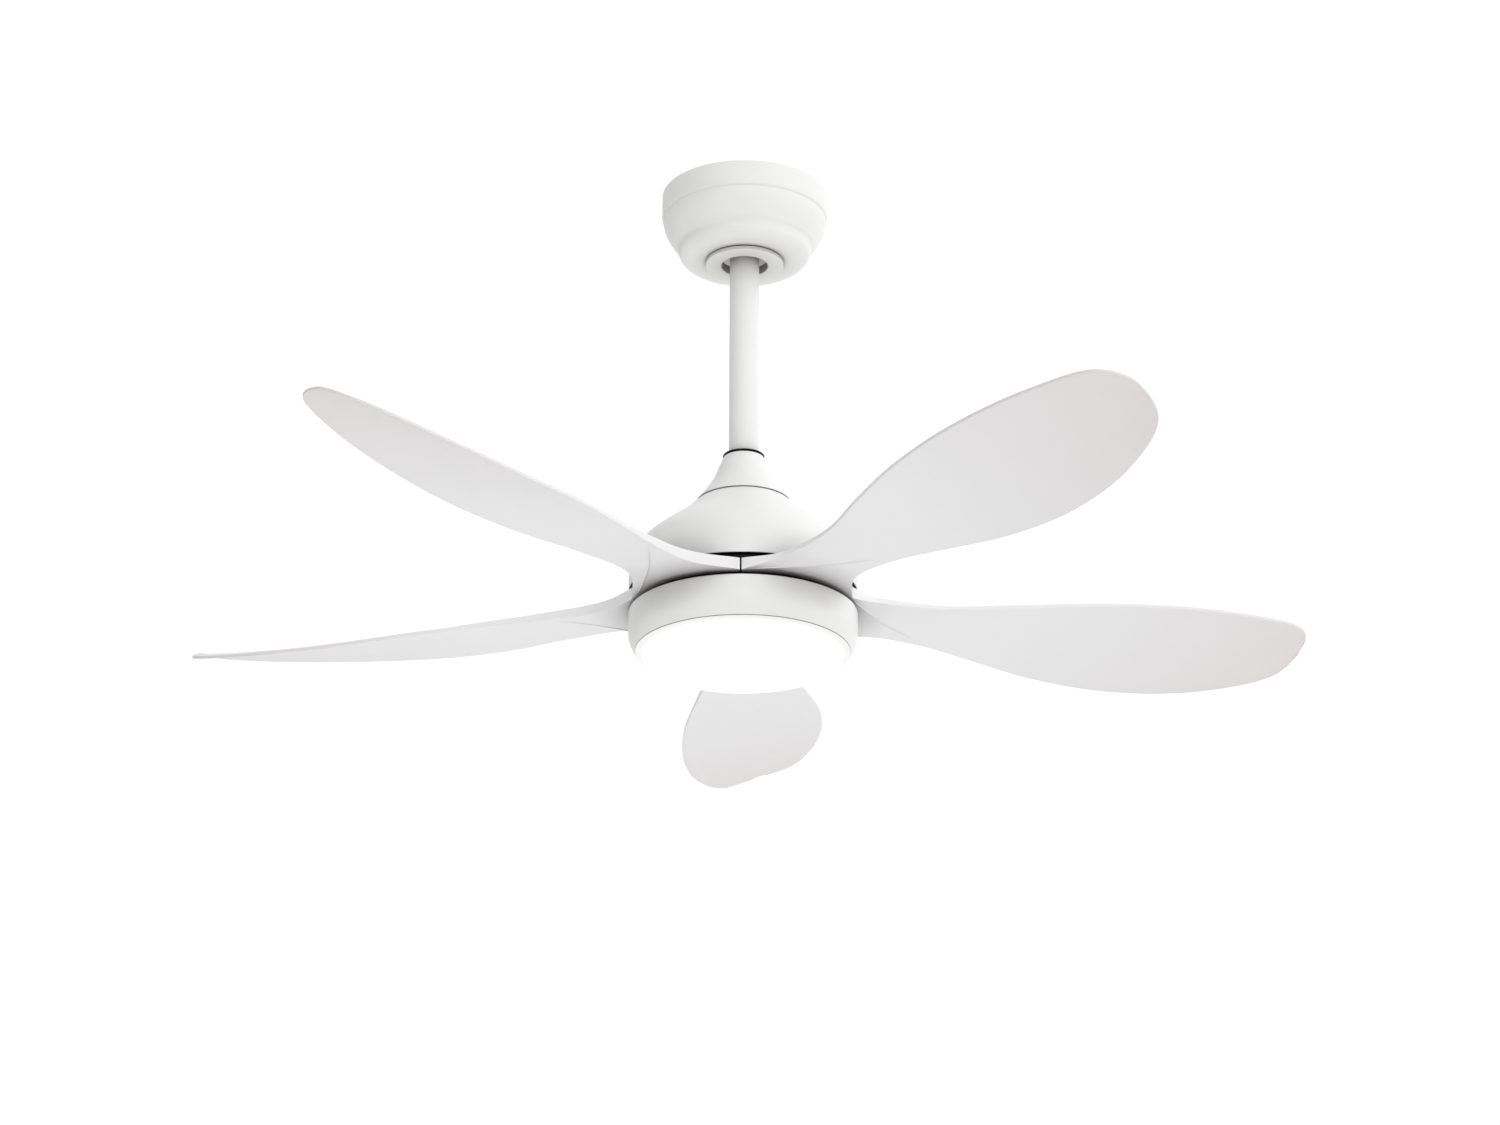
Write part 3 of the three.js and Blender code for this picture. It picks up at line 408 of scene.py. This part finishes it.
def trim_ring():
    lathe("trim_ring_fine", rounded([
        (21, -61, 0.4), (23.2, -61, 0.4), (23.2, -65, 0), (24.6, -65, 0), (24.6, -67.9, 0), (33.4, -67.9, 0),
        (33.4, -65.6, 0), (35.4, -65.6, 0.3), (35.4, -69.4, 0.6), (21, -69.4, 0.8),
    ]), "canopy_trim_ring", "white_plastic", "ceiling_mount")


def downrod():
    lathe("downrod_fine", rounded([
        (13.35, -18, 0.5), (13.35, -291, 0.5), (11.2, -291, 0.5), (11.2, -18, 0.5),
    ]), "downrod", "white_paint", "fan_body", 96)


def rod_seal():
    lathe("rod_seal_fine", rounded([
        (18.5, -257.1, 0.5), (18.5, -258.8, 0.3), (13.65, -258.8, 0.3), (13.65, -257.1, 0.3),
    ]), "rod_seal", "black_rubber", "fan_body", 96)


def coupling_cover():
    flank = curve([
        (18.3, -260.2), (22, -268.7), (25.9, -278.7), (30.4, -286.7), (36, -294.9), (41.8, -302),
    ], 28)
    outer = [(14.4, -259.1), (17.4, -259.1), (18.1, -259.5)] + flank + [(41.8, -302.4)]
    closed = outer + [(41.5, -302.6)] + list(inset(outer, 1.8)[::-1])
    lathe("coupling_cover_fine", closed, "coupling_cover", "white_paint", "fan_body")


def motor_housing():
    flare = curve([
        (41.8, -303.6), (46.4, -307.9), (51.4, -312.9), (58, -318.7), (66, -324.7), (74, -330.7),
        (82, -336.9), (89.4, -343.6), (94.8, -350.6), (98.2, -358.6), (100, -368), (100.5, -377),
        (100.5, -387.8),
    ], 60)
    outer = [(12.4, -303.2), (41.2, -303.2)] + flare
    closed = outer + [(100.1, -388.2)] + list(inset(outer, 1.8)[::-2])
    lathe("motor_housing_fine", closed, "motor_housing", "white_paint", "fan_body")


def rotor_flange():
    lathe("rotor_lower_shell_fine", rounded([
        (20.3, -393.3, 0.4), (99.5, -393.3, 0.8), (99.5, -390.3, 0.8), (75, -390.3, 0),
        (75, -364, 0), (80, -364, 0.5), (80, -362, 0.5), (72, -362, 0), (72, -390.3, 0),
        (24, -390.3, 0), (24, -378.5, 0.4), (20.3, -378.5, 0.4),
    ]), "rotor_lower_shell", "black_metal", "rotor")


# A black plate over the light pan; its black also serves as painted shade for the dark gap between the pan's
# top and the blade roots.
def light_plate():
    lathe("light_plate_fine", rounded([
        (8.7, -408.4, 0), (40, -408.4, 0.4), (42, -406.2, 0.4), (94.5, -406.2, 0), (94.5, -408.4, 0),
        (96, -408.4, 0), (96, -404.7, 0.5), (41, -404.7, 0.4), (39, -406.4, 0.4), (8.7, -406.4, 0),
    ]), "light_plate", "black_metal", "fan_body")


def light_pan():
    rim = [(97.6, -408.7), (98.2, -408.2), (99.9, -408.2), (100.3, -408.4)]
    wall = curve([
        (100.5, -408.9), (100.5, -417), (100.5, -425.5), (99.9, -430.5), (98.4, -435.2), (96.4, -439.3),
        (94.6, -442.2),
    ], 32)
    lip = [(94.2, -442.7), (90.8, -442.7), (90.8, -440.5), (93.6, -440.5)]
    inner = [(96, -435.2), (98.2, -430.5), (98.7, -425.5), (98.7, -411.2), (98.2, -410.7), (16, -410.7)]
    closed = [(16, -408.7)] + rim + wall + lip + inner
    lathe("light_pan_fine", closed, "light_pan", "white_paint", "fan_body")


def diffuser():
    dome = curve([
        (0, -457), (16, -456.9), (32, -456.6), (46, -456.1), (58, -455.6), (67, -455), (75, -454),
        (80.6, -452.7), (84.9, -450.9), (87.2, -448.5), (88.1, -446.3), (88.3, -444.7),
    ], 44)
    rim = [(88.5, -444.2), (89.2, -444), (93.2, -444), (93.8, -443.8), (93.9, -443.4), (93.6, -443.2)]
    neck = [(90.2, -443.2), (90.2, -434.6), (88, -434.6), (86.4, -446.6)]
    inner = curve([(83.6, -449.6), (74.2, -452), (58, -453.6), (32, -454.6), (0, -455)], 16)
    lathe("diffuser_fine", dome + rim + neck + inner, "diffuser", "opal", "light_cover")


# ---- blades --------------------------------------------------------------------------------------

BLADE_COUNT = 5
FIRST_BLADE_DEGREES = -55.24
ROOT_INNER, ROOT_RADIUS = 48, 100.3
ROOT_UNDERSIDE, ROOT_TOP = 4.9, 15.7
BLADE_DATUM = -409.3     # blade heights are counted from just under the light pan's top
SEAM = 1.5
BLADE_EDGE = [
    (115, -36, 12), (176, -37.5, 12.2), (241, -54.5, 14.6), (309, -67, 19.5), (386, -68.5, 25.4),
    (468, -56, 30.1), (522, -34.5, 31.6), (533.6, -6, 26.2), (521.5, 27.7, 11), (457, 54, -3.3),
    (372, 65.2, -9.2), (293, 61.5, -6.1), (229, 48, -0.2), (174, 35.6, 4.3), (120, 34.2, 5.9),
]
TIP_SHARE = 0.485        # where the side edges end and the last row follows the tip
LEADING_THICKNESS = [(100, 8), (125, 5), (160, 4.1), (230, 4.1), (350, 3.5), (525, 3.2)]
MIDDLE_THICKNESS = [(100, 8), (125, 6.5), (180, 5), (260, 4.6), (525, 2.8)]
TRAILING_THICKNESS = [(100, 11), (150, 8.5), (200, 6), (260, 3.8), (525, 2.8)]
CREASE_SHARE = [
    (81, 0.02), (84, 0.03), (90, 0.07), (96, 0.1), (106, 0.16), (116, 0.27), (125, 0.41), (137, 0.58),
    (152, 0.75), (168, 0.9), (185, 0.97), (214, 0.97), (330, 0.6),
]
CREASE_HEIGHT = [(81, 4.9), (88, 6.3), (95, 6.8), (110, 6.6), (130, 6.2), (150, 6.1), (160, 5.9)]
BEAD_WIDTH, BEAD_HEIGHT = 1.5, 0.6
CAMBER = 0.035
FILLET_REACH = 6         # grid points this near the outline make room for its rounded edge
ROWS, COLUMNS, CREASE_COLUMN = 84, 26, 15


def read_table(table, x):
    return float(np.interp(x, [row[0] for row in table], [row[1] for row in table]))


def smooth_step(x, low, high):
    share = min(max((x - low) / (high - low), 0), 1)
    return share * share * (3 - 2 * share)


def seam_point(radius, side):
    """A point on the radial edge between two blade roots, half a seam inside the blade's own sector."""
    half = math.pi / BLADE_COUNT
    x = radius * math.cos(half) + SEAM / 2 * math.sin(half)
    y = side * (radius * math.sin(half) - SEAM / 2 * math.cos(half))
    return x, y, ROOT_UNDERSIDE


def columns_of(share, chord):
    """Shares of a row's width at its columns: three of them carry the bead along the crease."""
    half = BEAD_WIDTH / 2 / chord
    first = np.linspace(0, max(share - half, 0.5 * share), CREASE_COLUMN)
    second = np.linspace(min(share + half, 0.5 + 0.5 * share), 1, COLUMNS - CREASE_COLUMN)
    return np.concatenate([first, [share], second])


def root_row(share_out):
    """A row of the flat root, between the inner arc and the first row between the blade's edges."""
    row = []
    inner = seam_point(ROOT_INNER, 1)
    inner_angle = math.atan2(inner[1], inner[0])
    lead, trail = (np.array(seam_point(ROOT_RADIUS, side)[:2]) for side in (-1, 1))
    for share in columns_of(CREASE_SHARE[0][1], float(trail[1] - lead[1])):
        angle = inner_angle * (2 * share - 1)
        arc = ROOT_INNER * np.array((math.cos(angle), math.sin(angle)))
        chord = lead + (trail - lead) * share
        row.append([*(arc + (chord - arc) * share_out), ROOT_UNDERSIDE, ROOT_TOP])
    return row


def blade_row(edge, t):
    """A row between the leading and trailing edges; the last rows bend to follow the tip."""
    lead, trail = catmull_rom(edge, t), catmull_rom(edge, 1 - t)
    chord = float(np.linalg.norm(trail - lead))
    out = (lead[0] + trail[0]) / 2
    crease = read_table(CREASE_SHARE, out)
    straight = lead[2] + (trail[2] - lead[2]) * crease
    creased = read_table(CREASE_HEIGHT, out) if out < CREASE_HEIGHT[-1][0] else straight
    camber = CAMBER * chord * smooth_step(out, 110, 240)
    bend = smooth_step(t, 0.38, TIP_SHARE)
    tip_lead, tip_trail = catmull_rom(edge, TIP_SHARE), catmull_rom(edge, 1 - TIP_SHARE)
    row = []
    bead = BEAD_HEIGHT * smooth_step(out, 84, 92) * (1 - smooth_step(out, 150, 172))
    for share in columns_of(crease, chord):
        place = lead + (trail - lead) * share
        bow = 4 * share * (1 - share)
        if share < crease:
            ruled = lead[2] + (creased - lead[2]) * share / crease
        else:
            ruled = creased + (trail[2] - creased) * (share - crease) / (1 - crease)
        low = ruled + camber * bow - (bead if share == crease else 0)
        leading_part = (1 - share) * read_table(LEADING_THICKNESS, place[0])
        edges = leading_part + share * read_table(TRAILING_THICKNESS, place[0])
        thickness = edges + (read_table(MIDDLE_THICKNESS, place[0]) - edges) * bow
        upper = place[2] + camber * bow + thickness
        high = ROOT_TOP + (upper - ROOT_TOP) * smooth_step(place[0], 97, 130)
        round_tip = catmull_rom(edge, TIP_SHARE + (1 - 2 * TIP_SHARE) * share)
        bulge = (round_tip - (tip_lead + (tip_trail - tip_lead) * share)) * bend
        row.append([place[0] + bulge[0], place[1] + bulge[1], low + bulge[2], high + bulge[2]])
    return row


def blade_rows():
    edge = [seam_point(ROOT_RADIUS, -1), *BLADE_EDGE, seam_point(ROOT_RADIUS, 1)]
    rows = [root_row(share) for share in (0, 0.35, 0.7)]
    rows += [blade_row(edge, TIP_SHARE * (i / ROWS) ** 0.94) for i in range(ROWS + 1)]
    return np.array(rows)


def rim_of(rows):
    """Row and column of every grid point on the outline, in order round it."""
    last_row, last_column = rows.shape[0] - 1, rows.shape[1] - 1
    rim = [(i, 0) for i in range(last_row)]
    rim += [(last_row, j) for j in range(last_column)]
    rim += [(i, last_column) for i in range(last_row, 0, -1)]
    rim += [(0, j) for j in range(last_column, 0, -1)]
    return rim


def inward(outline):
    """Mitred inward direction at each point of a closed, anticlockwise outline."""
    before = outline - np.roll(outline, 1, axis=0)
    after = np.roll(outline, -1, axis=0) - outline
    normals = []
    for along in (before, after):
        along = along / np.linalg.norm(along, axis=1)[:, None]
        normals.append(np.stack([-along[:, 1], along[:, 0]], axis=1))
    total = normals[0] + normals[1]
    return total / (1 + np.sum(normals[0] * normals[1], axis=1))[:, None]


def blade_mesh():
    """Points and faces of one blade: an underside, a top, and a wall with rounded edges."""
    rows = blade_rows()
    rim = rim_of(rows)
    cells = tuple(np.array(rim).T)
    outline, lows, highs = rows[cells][:, :2], rows[cells][:, 2], rows[cells][:, 3]
    direction = inward(outline)
    low_fillet = np.minimum(np.interp(outline[:, 0], [95, 150], [0.5, 0.8]), 0.3 * (highs - lows))
    high_fillet = np.minimum(np.interp(outline[:, 0], [95, 150], [0.6, 1.1]), 0.4 * (highs - lows))

    flat = rows[:, :, :2].reshape(-1, 2)
    distances = np.linalg.norm(flat[:, None] - outline[None], axis=2)
    nearest = distances.argmin(axis=1)
    give_way = np.clip(1 - distances.min(axis=1) / FILLET_REACH, 0, 1)

    points, faces, sheets = [], [], []
    for layer, fillet in ((2, low_fillet), (3, high_fillet)):
        places = flat + (direction * fillet[:, None])[nearest] * give_way[:, None]
        sheets.append(np.arange(len(flat)).reshape(rows.shape[:2]) + len(points))
        points += [(x, y, z) for (x, y), z in zip(places, rows[:, :, layer].ravel())]
    low_sheet, high_sheet = sheets
    for i in range(rows.shape[0] - 1):
        for j in range(rows.shape[1] - 1):
            a, b, c, d = (i, j), (i, j + 1), (i + 1, j + 1), (i + 1, j)
            faces.append(tuple(low_sheet[p] for p in (a, b, c, d)))
            faces.append(tuple(high_sheet[p] for p in (d, c, b, a)))

    loops = [[low_sheet[p] for p in rim]]
    steps = 4
    wall_parts = ((lows, low_fillet, 1, range(1, steps + 1)), (highs, high_fillet, -1, range(steps, 0, -1)))
    for heights, fillet, sign, order in wall_parts:
        for k in order:
            angle = k / steps * math.pi / 2
            places = outline + direction * (fillet * (1 - math.sin(angle)))[:, None]
            lift = heights + sign * fillet * (1 - math.cos(angle))
            loops.append(list(range(len(points), len(points) + len(rim))))
            points += [(x, y, z) for (x, y), z in zip(places, lift)]
    loops.append([high_sheet[p] for p in rim])
    for near, far in zip(loops, loops[1:]):
        for k in range(len(rim)):
            following = (k + 1) % len(rim)
            faces.append((near[k], near[following], far[following], far[k]))
    face_outwards(points, faces)
    return np.array(points, float), faces


def blades():
    points, faces = blade_mesh()
    for k in range(BLADE_COUNT):
        angle = math.radians(FIRST_BLADE_DEGREES) + k * TURN / BLADE_COUNT
        turned = points.copy()
        turned[:, 0] = points[:, 0] * math.cos(angle) - points[:, 1] * math.sin(angle)
        turned[:, 1] = points[:, 0] * math.sin(angle) + points[:, 1] * math.cos(angle)
        turned[:, 2] += BLADE_DATUM
        name = f"blade_{k + 1}"
        make_piece(f"{name}_fine", turned, faces, name, "blade_plastic", "rotor")


# ---- stage and light -----------------------------------------------------------------------------

def add_floor():
    """A plain pale floor, far enough down to stay out of every view from below."""
    half_width, height = 60.0, -4.6
    corners = [(half_width * x, half_width * y, height) for x, y in ((-1, -1), (1, -1), (1, 1), (-1, 1))]
    mesh = bpy.data.meshes.new("floor")
    mesh.from_pydata(corners, [], [(0, 1, 2, 3)])
    paint = coated("floor_paint", (0.94, 0.94, 0.935), (0.91, 0.91, 0.905), 0.7, 120.0, 0.0002)
    mesh.materials.append(paint)
    floor = bpy.data.objects.new("floor", mesh)
    bpy.context.scene.collection.objects.link(floor)


def add_world():
    """Soft studio light that is strongest on the right, on a plain white background."""
    level, slope, droop = 1.12, 0.55, -0.5     # strength is level + slope * x + droop * x * x
    world = bpy.data.worlds.new("studio")
    world.use_nodes = True
    tree = world.node_tree
    light = tree.nodes["Background"]
    light.inputs["Color"].default_value = (1, 1, 1, 1)
    split = tree.nodes.new("ShaderNodeSeparateXYZ")
    tree.links.new(tree.nodes.new("ShaderNodeTexCoord").outputs["Generated"], split.inputs["Vector"])
    across = split.outputs["X"]
    strength = multiply_add(tree, multiply_add(tree, across, droop, slope), across, level)
    tree.links.new(strength, light.inputs["Strength"])
    white = tree.nodes.new("ShaderNodeBackground")
    white.inputs["Color"].default_value = (1, 1, 1, 1)
    white.inputs["Strength"].default_value = 1.05
    mix = tree.nodes.new("ShaderNodeMixShader")
    tree.links.new(tree.nodes.new("ShaderNodeLightPath").outputs["Is Camera Ray"], mix.inputs["Fac"])
    tree.links.new(light.outputs["Background"], mix.inputs[1])
    tree.links.new(white.outputs["Background"], mix.inputs[2])
    tree.links.new(mix.outputs["Shader"], tree.nodes["World Output"].inputs["Surface"])
    bpy.context.scene.world = world


# ---- making --------------------------------------------------------------------------------------

add_camera()
dress_frame()
for build in (canopy, trim_ring, downrod, rod_seal, coupling_cover, motor_housing, rotor_flange, light_plate,
              light_pan, diffuser, blades):
    build()
add_floor()
add_world()
bpy.context.scene.view_settings.view_transform = "Standard"
